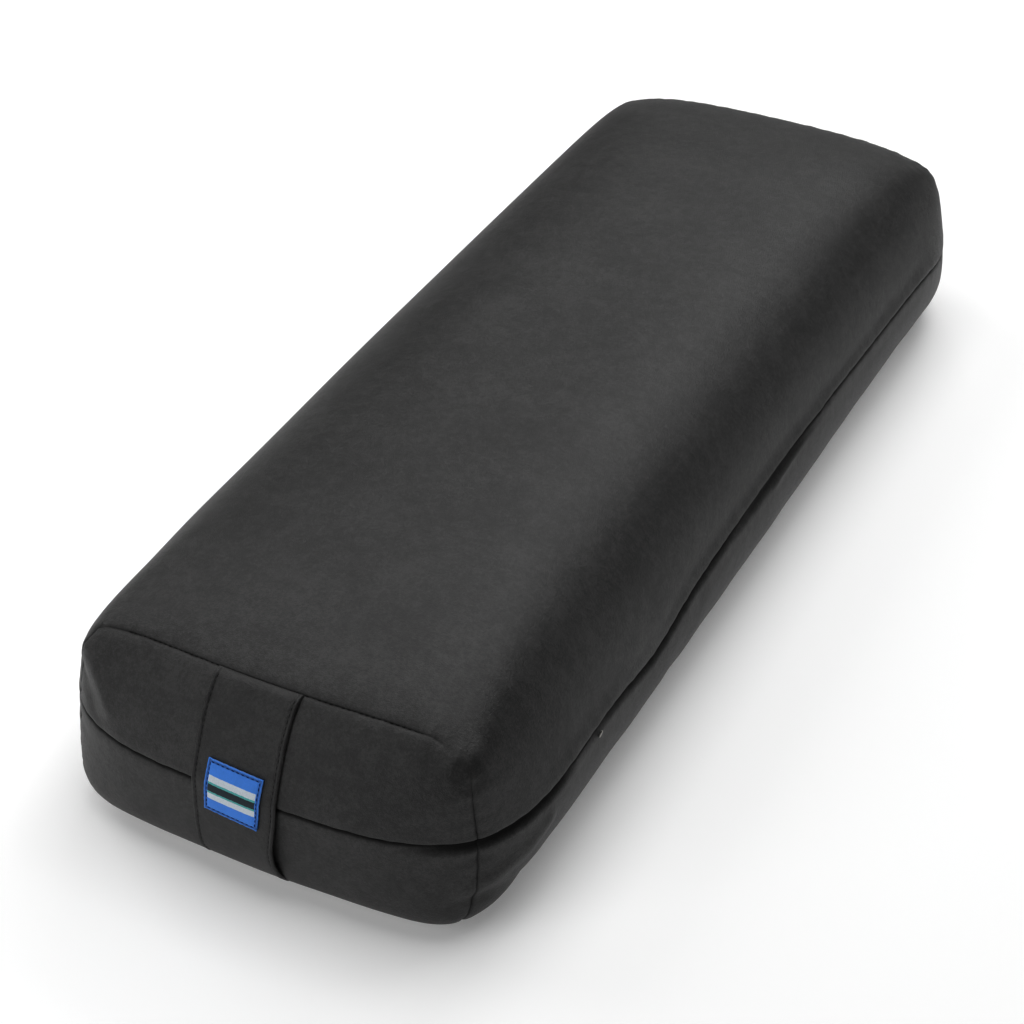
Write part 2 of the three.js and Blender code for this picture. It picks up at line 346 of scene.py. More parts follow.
def coverCloth(name, tint=1.0):
    shader = Shader(name)
    place = shader.place()
    weft, warp = shader.weave()
    cloudy = shader.noise(place, 30, 4, 0.6)
    brushed = shader.noise(place, 6, 4, 0.65)
    nap = shader.noise(place, 1.7, 3, 0.6)
    fibres = shader.noise(place, 0.6, 2, 0.7)
    tone = 0.5 + (cloudy - 0.5) * 1.3 + (brushed - 0.5) * 2 + (nap - 0.5) * 2 + (fibres - 0.5) * 2
    stops = [(share, shaded(colour, tint)) for share, colour in cotton["tones"]]
    colour = shader.node("ShaderNodeValToRGB", {"stops": stops}, {"Fac": tone})["Color"]
    # how much painted shade the seams' crevices and lips put on each point; it also makes the cloth duller
    # there
    seam = shader.node("ShaderNodeAttribute", {"attribute_name": "seamShade"})["Fac"]
    colour = shader.mix(seam, colour, shaded(cotton["seam"]))
    lines = weft + warp * cotton["twillSlope"] + nap * cotton["twillWander"]
    twill = (lines * (2 * math.pi / cotton["twillPitch"])).sin() * 0.5 + 0.5
    normal = shader.bump(twill * 0.05 + fibres * 0.8 + nap * 0.6 + brushed * 0.7, cotton["relief"])
    return shader.finish(Base_Color=colour, Roughness=seam * 0.5 + 0.5, Normal=normal,
                         Specular_IOR_Level=0.55)


def threadCloth(name, colour):
    shader = Shader(name)
    place = shader.place()
    twist = shader.noise(place, 0.5, 2, 0.6)
    tone = shader.mix(twist, shaded(colour, 0.7), shaded(colour, 1.3))
    return shader.finish(Base_Color=tone, Roughness=0.8, Normal=shader.bump(twist, 0.05),
                         Specular_IOR_Level=0.2)


# Woven ribbon: stripes stand within `reach` of its middle, each within its own distance of the middle
# line, and a dark sewn line and a pale raw edge run round it
ribbon = dict(
    dark=(0.045, 0.195, 0.57), light=(0.08, 0.3, 0.9), raw=(0.24, 0.32, 0.6), rawEdge=0.6,
    stripes=((6, (0.62, 0.68, 0.74)), (2.9, (0.1, 0.42, 0.42)), (1.9, (0.014, 0.028, 0.04))),
    sewn=(0.006, 0.02, 0.1), sewnHalf=0.55, ribPitch=0.5, floatPitch=0.62, relief=0.09,
)


def tagCloth(name, size, hem, reach):
    shader = Shader(name)
    place = shader.place()
    weft, warp = shader.weave()
    fromSide, fromMiddle = (weft - size[0] / 2).abs(), (warp - size[1] / 2).abs()
    fromEdge = (size[0] / 2 - fromSide).least(size[1] / 2 - fromMiddle)
    yarn = shader.noise(place, 0.7, 3, 0.6)
    worn = shader.noise(place, 5, 2, 0.5)
    colour = shader.mix(yarn * 0.6 + worn * 0.4, shaded(ribbon["dark"]), shaded(ribbon["light"]))
    band = fromSide < reach
    for halfStripe, stripe in ribbon["stripes"]:
        threads = shader.mix(yarn, shaded(stripe, 0.75), shaded(stripe, 1.2))
        colour = shader.mix(band * (fromMiddle + yarn * 0.3 < halfStripe), colour, threads)
    sewnLine = (fromEdge - hem).abs() < ribbon["sewnHalf"]
    colour = shader.mix(sewnLine * 0.55, colour, shaded(ribbon["sewn"]))
    colour = shader.mix((fromEdge + yarn * 0.5 < ribbon["rawEdge"]) * 0.45, colour, shaded(ribbon["raw"]))
    ribs = (warp * (2 * math.pi / ribbon["ribPitch"])).sin() * 0.5 + 0.5
    floats = (weft * (2 * math.pi / ribbon["floatPitch"])).sin() * 0.5 + 0.5
    normal = shader.bump(ribs * 0.5 + floats * 0.2 + yarn * 0.5, ribbon["relief"])
    return shader.finish(Base_Color=colour, Roughness=0.55, Normal=normal, Specular_IOR_Level=0.35)


def platedSteel(name):
    shader = Shader(name)
    place = shader.place()
    worn = shader.noise(place, 0.8, 3, 0.6)
    tone = shader.mix(worn, shaded((0.24, 0.235, 0.22)), shaded((0.42, 0.41, 0.39)))
    return shader.finish(Base_Color=tone, Metallic=1.0, Roughness=worn * 0.3 + 0.25,
                         Normal=shader.bump(worn, 0.03))


coverMaterial = coverCloth("charcoalCotton")
strapMaterial = coverCloth("charcoalStrap", 0.78)
tagThread = threadCloth("navyThread", (0.004, 0.012, 0.08))
seamThread = threadCloth("blackThread", (0.012, 0.012, 0.012))
pullSteel = platedSteel("pullSteel")
print("cloths ready")


# bolster

bolster = dict(
    halfWidth=125.4, halfLength=325, seamHeight=60,  # at the mid seam
    seamCornerRadius=104, cornerPower=3.66,  # corners are |u|^p + |v|^p = 1
    sideWaist=0.048, endBow=0.027, rimBow=0.01, farEndFlare=0.015,
    # where a side's filling pushes out: (side, y, spread, push, height of no push, height of full push)
    bulges=((-1, 70, 150, 3.6, 20, 70), (-1, -60, 95, 2.2, 20, 70), (-1, -245, 32, -1.4, 20, 70),
            (1, -10, 185, 4.4, 60, 35)),
    rimHeight=81, crownRise=41.5, crownPowerAcross=5, crownPowerAlong=10,
    upper=dict(sideInset=27.6, endInset=29.6, sideRound=1.5, endRound=1.68, cornerRadius=5),
    lower=dict(sideInset=48.6, endInset=70.7, sideRound=2.57, endRound=5, cornerRadius=20),
    wander=((-150, -8, 35), (20, 3.5, 95), (285, -6, 32)),  # the right side's mid seam: (y, rise, spread)
    straightHalf=52,  # end columns this near the middle stay upright
    endColumns=92, sideColumns=228, clustering=1.5,
    lowerRows=36, upperRows=36, crownRows=34, footBand=0.1, rimBand=0.15,
    underside=(0, 0.5, 0.9, 0.97),  # its rows, as shares of its outline
)


# The cover's plan at a level, -1 at the foot, 0 at the mid seam and 1 at the rim: with h = |level| it is
# drawn in by depth (1 - (1 - h^p)^(1/p)), its corner radius turns into the foot's or the rim's as h^2, and
# its share of the crown is h^2 (3 - 2h), above the seam alone
def ringAt(level):
    b = bolster
    lower, height = level < 0, np.abs(level)

    def inset(depthKey, roundKey):
        depth = np.where(lower, b["lower"][depthKey], b["upper"][depthKey])
        power = np.where(lower, b["lower"][roundKey], b["upper"][roundKey])
        return depth * (1 - np.maximum(1 - height ** power, 0) ** (1 / power))

    radius = np.where(lower, b["lower"]["cornerRadius"], b["upper"]["cornerRadius"])
    rise = np.where(lower, b["seamHeight"], b["rimHeight"] - b["seamHeight"])
    return dict(
        width=b["halfWidth"] - inset("sideInset", "sideRound"),
        length=b["halfLength"] - inset("endInset", "endRound"),
        radius=b["seamCornerRadius"] + (radius - b["seamCornerRadius"]) * height ** 2,
        z=b["seamHeight"] + rise * level,
        crown=np.where(lower, 0, height ** 2 * (3 - 2 * height)),
    )


# How far out the outline stands at a place along it: straight, then round its corner
def outlineReach(along, alongHalf, acrossHalf, radius):
    power = bolster["cornerPower"]
    past = np.clip((np.abs(along) - (alongHalf - radius)) / radius, 0, 1)
    return acrossHalf - radius + radius * (1 - past ** power) ** (1 / power)


cornerCut = 1 - 0.5 ** (1 / bolster["cornerPower"])


def cornerOf(ring):
    return ring["width"] - ring["radius"] * cornerCut, ring["length"] - ring["radius"] * cornerCut


seamCornerX, seamCornerY = cornerOf(ringAt(np.float64(0)))


# Plan point (x, y) at height z lifted by the crown, (1 - |x/a|^5)(1 - |y/b|^10), narrowed at mid-length by
# the waist, 1 - (y/b)^2, lengthened mid-width by the bow, 1 - (x/a)^2, and pushed sideways at each bulge by
# exp(-((y - place) / spread)^2)
def filled(x, y, z, crown):
    b = bolster
    across, along = np.abs(x / b["halfWidth"]), np.abs(y / b["halfLength"])
    rise = (np.maximum(1 - across ** b["crownPowerAcross"], 0)
            * np.maximum(1 - along ** b["crownPowerAlong"], 0))
    waist = 1 - b["sideWaist"] * (1 - along ** 2)
    bow = (b["endBow"] + b["rimBow"] * crown) * (1 - np.minimum(across, 1) ** 2)
    height = z + b["crownRise"] * rise * crown
    pushed = 1.0
    for side, place, spread, push, start, end in b["bulges"]:
        strength = np.exp(-((y - place) / spread) ** 2) * np.clip((height - start) / (end - start), 0, 1)
        pushed = pushed + np.where(x * side > 0, push / b["halfWidth"] * strength, 0)
    return np.stack(np.broadcast_arrays(
        x * waist * (1 + b["farEndFlare"] * y / b["halfLength"]) * pushed, y * (1 + bow), height,
    ), axis=-1)


# The mid seam's wander up and down the right side
def seamRise(points):
    side = np.clip(points[..., 0] / bolster["halfWidth"], 0, 1) ** 4
    return side * sum(rise * np.exp(-((points[..., 1] - place) / spread) ** 2)
                      for place, rise, spread in bolster["wander"])


# The cover's columns, anticlockwise from the near left corner seam: on an end a column has the x at which
# it stands on the mid seam, and on a side its share, -1 to 1, of the way from one corner to the other
def coverColumns():
    def clustered(count):
        even = np.linspace(-1, 1, count)
        return np.sign(even) * (1 - (1 - np.abs(even)) ** bolster["clustering"])

    ends = clustered(bolster["endColumns"]) * seamCornerX
    sides = clustered(bolster["sideColumns"])[1:-1]
    counts = [len(ends), len(sides)] * 2
    return dict(isEnd=np.repeat([True, False, True, False], counts), sign=np.repeat([-1, 1, 1, -1], counts),
                value=np.concatenate([ends, sides, ends[::-1], sides[::-1]]))


def planOf(columns, ring):
    cornerX, cornerY = cornerOf(ring)
    straight = bolster["straightHalf"]
    value, sign = columns["value"], columns["sign"]
    share = np.maximum(np.abs(value) - straight, 0) / (seamCornerX - straight)
    endX = np.sign(value) * (np.minimum(np.abs(value), straight) + share * (cornerX - straight))
    endY = sign * outlineReach(endX, ring["width"], ring["length"], ring["radius"])
    sideY = cornerY * value
    sideX = sign * outlineReach(sideY, ring["length"], ring["width"], ring["radius"])
    return np.where(columns["isEnd"], endX, sideX), np.where(columns["isEnd"], endY, sideY)


# Smooth cover at each level and column: the ring at that level, filled out
def coverPoints(columns, levels):
    levels = levels[:, None]
    ring = ringAt(levels)
    x, y = planOf(columns, ring)
    points = filled(x, y, ring["z"], ring["crown"])
    points[..., 2] += seamRise(points) * (1 - np.abs(levels)) ** 2
    return points


# Loops inside a ring, drawn towards a middle line: share 1 is the ring's own size and 0 the line
def insidePoints(columns, level, shares):
    ring = ringAt(np.float64(level))
    x, y = planOf(columns, ring)
    straightX = np.where(columns["isEnd"], x, columns["sign"] * ring["width"])
    straightY = np.where(columns["isEnd"], columns["sign"] * ring["length"], y)
    ridge = 1 - bolster["halfWidth"] / bolster["halfLength"]
    shares = shares[:, None]
    return filled(straightX * shares, straightY * (ridge + shares * (1 - ridge)), ring["z"], ring["crown"])


# Rows of the cover from the middle of its underside up to the middle of its crown, close together at the
# foot, at the mid seam and at the rim, with the numbers of the mid seam's row and of the rim's
def coverGrid(columns):
    b = bolster

    def grow(count, power):
        return (np.arange(count + 1) / count) ** power

    levels = np.concatenate([
        -1 + b["footBand"] * grow(b["lowerRows"] // 4, 2),
        (b["footBand"] - 1) * grow(b["lowerRows"], 1.7)[::-1][1:],
        (1 - b["rimBand"]) * grow(b["upperRows"], 1.7)[1:],
        1 - b["rimBand"] * grow(b["upperRows"] * 2 // 3, 2.5)[::-1][1:],
    ])
    points = np.concatenate([
        insidePoints(columns, -1, np.array(b["underside"])), coverPoints(columns, levels),
        insidePoints(columns, 1, 1 - grow(b["crownRows"], 1.8)[1:]),
    ])
    below = len(b["underside"])
    return points, below + int(np.argmin(np.abs(levels))), below + len(levels) - 1


# Distance in millimetres of each point from the nearest part of a line of straight runs
def distanceTo(points, line):
    line = np.array(line, float)
    runs = []
    for start, end in zip(line[:-1], line[1:]):
        run = end - start
        share = np.clip((points - start) @ run / (run @ run), 0, 1)
        runs.append(np.linalg.norm(points - start - share[..., None] * run, axis=-1))
    return np.minimum.reduce(runs)


# the long sides' top edge is only the filling's curve
shoulder = dict(blur=13, reach=38, fromCorner=(12, 70), rowsBelow=52, rowsLeft=4)


# Rounds the shoulder of each long side: every point becomes the mean of its column, weighted by
# exp(-(s / blur)^2 / 2) with s the length along the column, and the blur falls to nothing away from the rim
# and towards the corners. The whole shoulder is then moved back out by what its rim lost.
def shouldered(smooth, columns, rimRow):
    s, rim = shoulder, shoulder["rowsBelow"]
    rows = slice(rimRow - rim, len(smooth) - s["rowsLeft"])
    places = lengthsAlong(smooth[rows], 0)
    start, end = s["fromCorner"]
    fromCorner = seamCornerY - np.abs(smooth[rimRow, :, 1])
    side = np.where(columns["isEnd"], 0, np.clip((fromCorner - start) / (end - start), 0, 1))
    away = (places - places[rim]) / s["reach"]
    blur = np.maximum(s["blur"] * side ** 0.5 * np.exp(-away ** 4), 0.01)
    widths = np.gradient(places, axis=0)
    weights = np.exp(-0.5 * ((places[:, None] - places[None]) / blur[:, None]) ** 2) * widths[None]
    rounded = np.einsum("ijc,jck->ick", weights / weights.sum(1, keepdims=True), smooth[rows])
    rounded += (smooth[rimRow] - rounded[rim]) * np.exp(-away ** 2)[..., None]
    return np.concatenate([smooth[:rows.start], rounded, smooth[rows.stop:]])


seams = dict(
    upperLip=(0.9, 1.5), upperCrevice=(1.0, 0.35),  # (depth, width) of the mid seam's upper lip
    lowerLip=(1.2, 2.4), lowerCrevice=(1.9, 0.8),
    top=(0.75, 2.2), topCrevice=(0.55, 0.4),  # along the top of each end
    corner=(0.65, 2.4), cornerCrevice=(0.6, 0.4),
    drop=dict(nearRight=(9, 76, 21), others=(4, 88, 10)),  # how a top seam turns down: (depth, from x, over)
    # where the top seam meets a corner seam both fade: (x, y, z, reach, share)
    softened=((93, -304, 97, 15, 0.85), (-97, -303, 95, 9, 0.4), (97, 303, 95, 9, 0.4),
              (-97, 303, 95, 9, 0.4)),
    # the upper half hangs over the lower: (x, y, reach across, reach along, depth, how far down)
    overhangs=((116, -288, 34, 40, 2.3, 4.8), (125, -72, 30, 148, 1.6, 3.8)),
    # the lower panel parts from the zip's lip, drop below the seam, between two places along the right side
    gape=dict(start=-60, over=40, end=77, fade=45, depth=1.5, width=1.8, drop=4),
    closedUp=dict(start=80, over=30, share=0.9),  # beyond the lip's end the seam is closed and its painted shade fades
    rightSide=100,  # both only right of this x
)
# painted shade of the seams, the overhangs and the gape: how dark each is,
# and over how many millimetres it fades
seamShades = dict(mid=0.8, aboveMid=0.4, belowMid=1.7, top=0.45, corner=0.5, fade=0.5,
                  hang=0.85, fullHang=1.6, gape=0.6)
folds = (  # (height, width, line): ridges stand proud and valleys are drawn in
    (1.6, 4.5, ((-101, -307, 89), (-90, -314, 88.5), (-82, -319.5, 81), (-77, -322, 74))),
    (-1.0, 4.5, ((-99, -311, 80), (-91, -317, 74), (-86, -321, 66))),
    (1.5, 4.5, ((104.8, -313, 32), (110.4, -305, 35), (115, -295, 38.5), (118, -283, 40),
                (119.5, -268, 45))),
    (-1.4, 5.5, ((98, -319, 24), (106, -312, 26), (110.5, -305, 26), (114, -294, 23), (115, -278, 19))),
    (1.0, 2.6, ((119.5, 4, 55.5), (119.7, 35, 58.5), (120, 76, 61))),
    (0.8, 12, ((84, -298, 102), (96, -303, 95), (101, -307, 82), (103, -309, 66))),
    (-1.2, 26, ((108, -304, 10), (113, -292, 13), (117, -265, 16))),  # the near right corner's rounder foot
    (0.35, 7, ((118, -86, 48), (117, -101, 36), (116, -112, 28))),
    (-0.4, 7, ((118, -98, 48), (117, -116, 36), (116, -126, 28))),
)
puckers = dict(  # (height, wavelengths, seed), of a seam's ripples and of the lower panel's waves
    mid=(0.17, (8.3, 13.1, 21.7), 3), top=(0.28, (7.1, 11.3, 17.9), 5), corner=(0.3, (7.7, 12.9, 19), 9),
    lower=(0.12, (37, 59, 83), 11), fade=8, lowerFade=20,
)


# Each point's distances along the cover: up from the mid seam, up from the rim, round from the nearest
# corner seam, how far below the rim the top seam runs there, and how far at its lowest
def seamPlaces(smooth, columns, midRow, rimRow):
    upright = lengthsAlong(smooth, 0)
    around = lengthsAlong(np.concatenate([smooth, smooth[:, :1]], axis=1), 1)
    whole, around = around[:, -1:, None], around[:, :-1]
    corners = np.cumsum([0, bolster["endColumns"] - 1, bolster["sideColumns"] - 1, bolster["endColumns"] - 1])
    apart = np.abs(around[:, :, None] - around[:, None, corners])
    x, y = smooth[..., 0], smooth[..., 1]
    nearRight = (x > 0) & (y < 0)
    depth, start, over = (np.where(nearRight, *pair) for pair in zip(*seams["drop"].values()))
    return dict(fromMid=upright - upright[midRow], fromRim=upright - upright[rimRow],
                fromCorner=np.minimum(apart, whole - apart).min(-1),
                lowered=depth * np.clip((np.abs(x) - start) / over, 0, 1) ** 2, lowest=depth)


# How deep each point is drawn in, and how much painted shade it takes from the seams' crevices, the
# overhangs and the gape: lips and crevices fall off as exp(-distance / width) from their seam, overhangs as
# exp(-(distance / down)^4) below the mid seam, folds as exp(-(distance / width)^2) from their line, and
# puckers ripple along a seam and fade from it
def sewn(smooth, columns, midRow, rimRow):
    s, at = seams, seamPlaces(smooth, columns, midRow, rimRow)
    fromMid, fromRim = at["fromMid"], at["fromRim"]
    x, y, z = np.moveaxis(smooth, -1, 0)
    fromTop = np.hypot(fromRim + at["lowered"], np.where(columns["isEnd"], 0, at["fromCorner"]))
    fromCornerSeam = np.hypot(at["fromCorner"], np.maximum(fromRim + at["lowest"], 0))
    strength = 1.0
    for sx, sy, sz, reach, share in s["softened"]:
        apart = (x - sx) ** 2 + (y - sy) ** 2 + (z - sz) ** 2
        strength = strength * (1 - share * np.exp(-apart / reach ** 2))

    def lip(distance, *shapes):
        return sum(depth * np.exp(-distance / width) for depth, width in shapes)

    closed = strength * np.maximum(lip(fromTop, s["top"], s["topCrevice"]),
                                   lip(fromCornerSeam, s["corner"], s["cornerCrevice"]))
    above, below = np.maximum(fromMid, 0), np.maximum(-fromMid, 0)
    hang = sum(depth * np.exp(-((x - ox) / rx) ** 4 - ((y - oy) / ry) ** 8 - (below / down) ** 4)
               for ox, oy, rx, ry, depth, down in s["overhangs"])
    gape, closes, right = s["gape"], s["closedUp"], x > s["rightSide"]
    parted = (np.clip((gape["end"] - y) / gape["fade"], 0, 1) ** 0.7
              * np.clip((y - gape["start"]) / gape["over"], 0, 1) * right)
    gaping = np.exp(-((fromMid + gape["drop"]) / gape["width"]) ** 2)
    lower = lip(below, s["lowerLip"], s["lowerCrevice"]) + hang + gape["depth"] * parted * gaping
    mid = np.where(fromMid >= 0, lip(above, s["upperLip"], s["upperCrevice"]), lower)

    p, along = puckers, np.where(columns["isEnd"], x, y)

    def rippled(kind, places):
        height, wavelengths, seed = p[kind]
        return height * ripple(places, wavelengths, seed)

    waves = (rippled("mid", along) * np.exp(-np.abs(fromMid) / p["fade"])
             + rippled("top", along) * np.exp(-fromTop / p["fade"])
             + rippled("corner", z) * np.exp(-fromCornerSeam / p["fade"])
             + rippled("lower", along + z * 0.5)
             * np.clip(-fromMid / p["lowerFade"], 0, 1) * np.clip(z / p["lowerFade"], 0, 1))
    raised = sum(height * np.exp(-(distanceTo(smooth, line) / width) ** 2) for height, width, line in folds)
    d = seamShades
    closedUp = 1 - closes["share"] * np.clip((y - closes["start"]) / closes["over"], 0, 1) * right
    # painted shade: in the crevices of the mid, top and corner seams, under the overhanging lips and in the
    # gape
    dark = np.maximum.reduce([
        d["mid"] * closedUp * np.exp(-above / d["aboveMid"] - (below / d["belowMid"]) ** 4),
        d["top"] * strength * np.exp(-fromTop / d["fade"]),
        d["corner"] * strength * np.exp(-fromCornerSeam / d["fade"]),
        d["hang"] * np.clip(hang / d["fullHang"], 0, 1) * (fromMid < 0), d["gape"] * parted * gaping,
    ])
    return mid + closed + waves - raised, dark


topThread = dict(pitch=2.9, length=1.9, thickness=0.5, sunk=0.85, reach=80)
stuffing = dict(
    voxel=5.5, shrink=3.0, cap=4.2,
    pinned=3, pinWidth=6,  # how near a seam the cloth is held, and its fade
    footHeld=3, footFade=2,  # up to where the underside is held
    strapMargin=4, strapEnd=-290,  # beside the strap, and beyond this y
    pressure=4, frames=20, quality=4, mass=0.25, bending=1.5, evened=3,
)


# The cover's seams as points a few millimetres apart: the mid seam, the corner seams and both top seams
def seamPoints(smooth, columns, midRow, rimRow):
    cornerColumns = np.nonzero(columns["isEnd"] & (np.abs(columns["value"]) >= seamCornerX - 1e-6))[0]
    cornerRows = slice(len(bolster["underside"]), rimRow, 3)
    return np.concatenate([smooth[midRow, ::2], smooth[cornerRows, cornerColumns].reshape(-1, 3),
                           smooth[rimRow, columns["isEnd"]][::2]])


# Stuffs the cover: a remeshed copy, slightly shrunk, is blown up as cloth with its seams, its underside
# and the place under the strap held. How far it moves, capped as cap tanh(length / cap), is carried over
# to the fine cover.
def stuffed(smooth, columns, midRow, rimRow):
    s = stuffing
    rough = meshFromLoops("stuffing", smooth[None], None)
    rough.modifiers.new("even", "REMESH").voxel_size = s["voxel"] * mm
    even = evaluatedMesh(rough)
    bpy.data.objects.remove(rough)
    rest = coordinates(even)
    local = rest / mm - coverMiddle
    normals = np.empty(len(rest) * 3)
    even.vertex_normals.foreach_get("vector", normals)
    normals = normals.reshape(-1, 3)
    spots = seamPoints(smooth, columns, midRow, rimRow)
    apart = (local ** 2).sum(1)[:, None] + (spots ** 2).sum(1)[None] - 2 * local @ spots.T
    nearest = np.sqrt(np.maximum(apart.min(1), 0))
    held = np.exp(-(np.maximum(nearest - s["pinned"], 0) / s["pinWidth"]) ** 2)
    held = np.maximum(held, np.clip((s["footHeld"] - local[:, 2]) / s["footFade"], 0, 1))
    fromStrap = np.abs(local[:, 0] - strap["centre"]) - strap["width"] / 2
    held = np.where((fromStrap < s["strapMargin"]) & (local[:, 1] < s["strapEnd"]), 1, held)
    even.vertices.foreach_set("co", (rest - normals * (s["shrink"] * mm * (1 - held))[:, None]).ravel())
    start = coordinates(even)
    cloth = addObject("stuffing", even)
    pins = cloth.vertex_groups.new(name="held")
    for weight in np.linspace(0.1, 1, 10):
        within = np.nonzero((held > weight - 0.1) & (held <= weight + 1e-9))[0]
        pins.add(within.tolist(), float(weight), "REPLACE")
    blown = cloth.modifiers.new("blown", "CLOTH")
    blown.settings.vertex_group_mass = "held"
    blown.settings.quality = s["quality"]
    blown.settings.mass = s["mass"]
    blown.settings.use_pressure = True
    blown.settings.uniform_pressure_force = s["pressure"]
    blown.settings.effector_weights.gravity = 0
    blown.settings.bending_stiffness = s["bending"]
    blown.point_cache.frame_start, blown.point_cache.frame_end = 1, s["frames"]
    for number in range(1, s["frames"] + 1):
        bpy.context.scene.frame_set(number)
    blownUp = evaluatedMesh(cloth)
    moved = coordinates(blownUp) - start
    bpy.context.scene.frame_set(1)
    bpy.data.meshes.remove(blownUp)
    cloth.modifiers.clear()
    length = np.linalg.norm(moved, axis=1, keepdims=True)
    moved *= s["cap"] * mm / np.maximum(length, 1e-9) * np.tanh(length / (s["cap"] * mm))
    print("stuffing moved up to", (length.max() / mm).round(2), "mm")

    fine = meshFromLoops("fine", smooth[None], None)
    number = welded(smooth)[1]
    even.vertices.foreach_set("co", rest.ravel())
    bound = fine.modifiers.new("follows", "SURFACE_DEFORM")
    bound.target = cloth
    bpy.context.view_layer.objects.active = fine
    bpy.ops.object.surfacedeform_bind(modifier="follows")
    even.vertices.foreach_set("co", (rest + moved).ravel())
    even.update()
    followed = evaluatedMesh(fine)
    carried = coordinates(followed)[number] / mm - coverMiddle - smooth
    for piece in (fine, cloth):
        bpy.data.objects.remove(piece)
    for _ in range(s["evened"]):  # the steps between the copy's faces
        carried[1:-1] = (carried[:-2] + 2 * carried[1:-1] + carried[2:]) / 4
        carried = (np.roll(carried, 1, axis=1) + 2 * carried + np.roll(carried, -1, axis=1)) / 4
    carried[[0, -1]] = carried[[0, -1]] * np.array([0, 0, 1])  # the folded rows stay where they are in plan
    return smooth + carried


def buildBolster():
    columns = coverColumns()
    smooth, midRow, rimRow = coverGrid(columns)
    smooth = shouldered(smooth, columns, rimRow)
    smooth = stuffed(smooth, columns, midRow, rimRow)
    turned = np.roll(smooth, -1, axis=1) - np.roll(smooth, 1, axis=1)
    normals = unit(np.cross(turned, np.gradient(smooth, axis=0)))
    normals[rimRow] = unit(normals[rimRow - 1] + normals[rimRow + 1])  # its own fold over at a corner
    # dark is the painted shade of the seams' crevices, the overhangs and the gape, kept as the seamShade
    # attribute
    depth, dark = sewn(smooth, columns, midRow, rimRow)
    points = smooth - normals * depth[..., None]
    points[..., 2] = np.maximum(points[..., 2], 0)
    points[[0, -1]] = np.round(smooth[[0, -1]], 3)  # folded flat along the middle
    points[:len(bolster["underside"]), :, 2] = 0

    # the weave in millimetres: across and along on the crown and the sides, across and up on the ends
    at = seamPlaces(smooth, columns, midRow, rimRow)
    x, y = smooth[..., 0], smooth[..., 1]
    crown = np.stack([x, y], -1)
    side = np.stack([x[rimRow] - columns["sign"] * at["fromRim"], y], -1)
    end = np.stack([x, at["fromMid"]], -1)
    spans = [bolster["endColumns"], bolster["sideColumns"]] * 2  # corner columns are an end's and a side's
    starts = np.cumsum([0] + [span - 1 for span in spans[:3]])
    order = np.concatenate([(start + np.arange(span)) % len(columns["value"])
                            for start, span in zip(starts, spans)])
    onEnd = np.repeat([True, False, True, False], spans)[:, None]
    wall = np.where(onEnd, end[:, order], side[:, order])
    rows = np.concatenate([np.arange(rimRow + 1), np.arange(rimRow, len(smooth))])
    weave = np.concatenate([wall[:rimRow + 1], crown[rimRow:][:, order]])
    weave = np.concatenate([weave, weave[:, :1]], axis=1)
    piece = meshFromLoops("bolster_cover", points[rows][:, order][None], coverMaterial, weave[None],
                          dark[rows][:, order][None])

    s, topRow = topThread, np.abs(at["fromRim"] + at["lowered"]).argmin(0)
    threads = []
    for sign in (-1, 1):
        sewnEnd = columns["isEnd"] & (columns["sign"] == sign) & (np.abs(x[rimRow]) < s["reach"])
        picked = np.nonzero(sewnEnd)[0]
        out = normals[topRow[picked], picked]
        line = smooth[topRow[picked], picked] - out * s["sunk"]
        threads.append(stitchLoops(line, out, s["pitch"], s["length"], s["thickness"]))
    thread = meshFromLoops("top_seam_stitches", np.concatenate(threads), seamThread)
    for made in (piece, thread):
        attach(made, "root")
    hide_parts("bolster")


# handle strap

strap = dict(
    width=45, centre=-4.5, thickness=1.7, rounding=0.8,
    seat=0.75,  # the middle of its thickness from the cover
    # its lower half stands off the cover, most at its right edge, which is drawn in by the pinch
    belly=dict(middle=0.72, spread=0.147, lift=1.5, twist=1.3, pinch=1.8),
    tuck=1.3, tuckOver=2.5, foot=2.4, footOver=15,  # its top end dives into the seam, its foot hugs the cover
    lowLevel=-0.9, rows=64, columns=34,
    hem=2.3, hemGroove=0.3, hemWidth=0.5,
    bead=0.4, beadPlace=1.1, beadWidth=0.7,  # between its edge and its hem
    wave=0.18, waveFade=3,  # its edges ripple
    stitchPitch=3.0, stitchLength=2.1, stitchThickness=0.32, stitchProud=0.1,
)


# The strap's middle surface for shares along it (0 at the seam) and places across it, its normals and its
# length: the end wall's own profile, moved outwards by the seat and by the belly,
# lift exp(-((share - middle) / spread)^2), and inwards at both ends by exp(-(distance / over)^2)
def strapSurface(shares, across):
    s = strap
    columns = dict(isEnd=np.full(len(across), True), sign=np.full(len(across), -1),
                   value=across + s["centre"])
    levels = np.linspace(1, s["lowLevel"], 500)
    profile = coverPoints(columns, levels)
    arc = lengthsAlong(profile[:, len(across) // 2], 0)
    spots = np.interp(shares * arc[-1], arc, levels)
    points = coverPoints(columns, spots)
    near = np.exp(-((shares[:, None] - s["belly"]["middle"]) / s["belly"]["spread"]) ** 2)
    rightShare = across / (s["width"] / 2)
    points[..., 0] -= s["belly"]["pinch"] * near * np.clip(rightShare, 0, 1)
    run = np.gradient(points, axis=0)
    run[..., 0] = 0
    normals = unit(np.stack([run[..., 0], run[..., 2], -run[..., 1]], -1))
    normals = normals * np.sign(-normals[len(shares) // 2, :, 1])[None, :, None]  # whichever way it runs
    sunk = (s["tuck"] * np.exp(-(shares * arc[-1] / s["tuckOver"]) ** 2)
            + s["foot"] * np.exp(-((1 - shares) * arc[-1] / s["footOver"]) ** 2))
    offset = (s["seat"] - sunk)[:, None] + (s["belly"]["lift"] + s["belly"]["twist"] * rightShare) * near
    return points + normals * offset[..., None], normals, arc[-1]


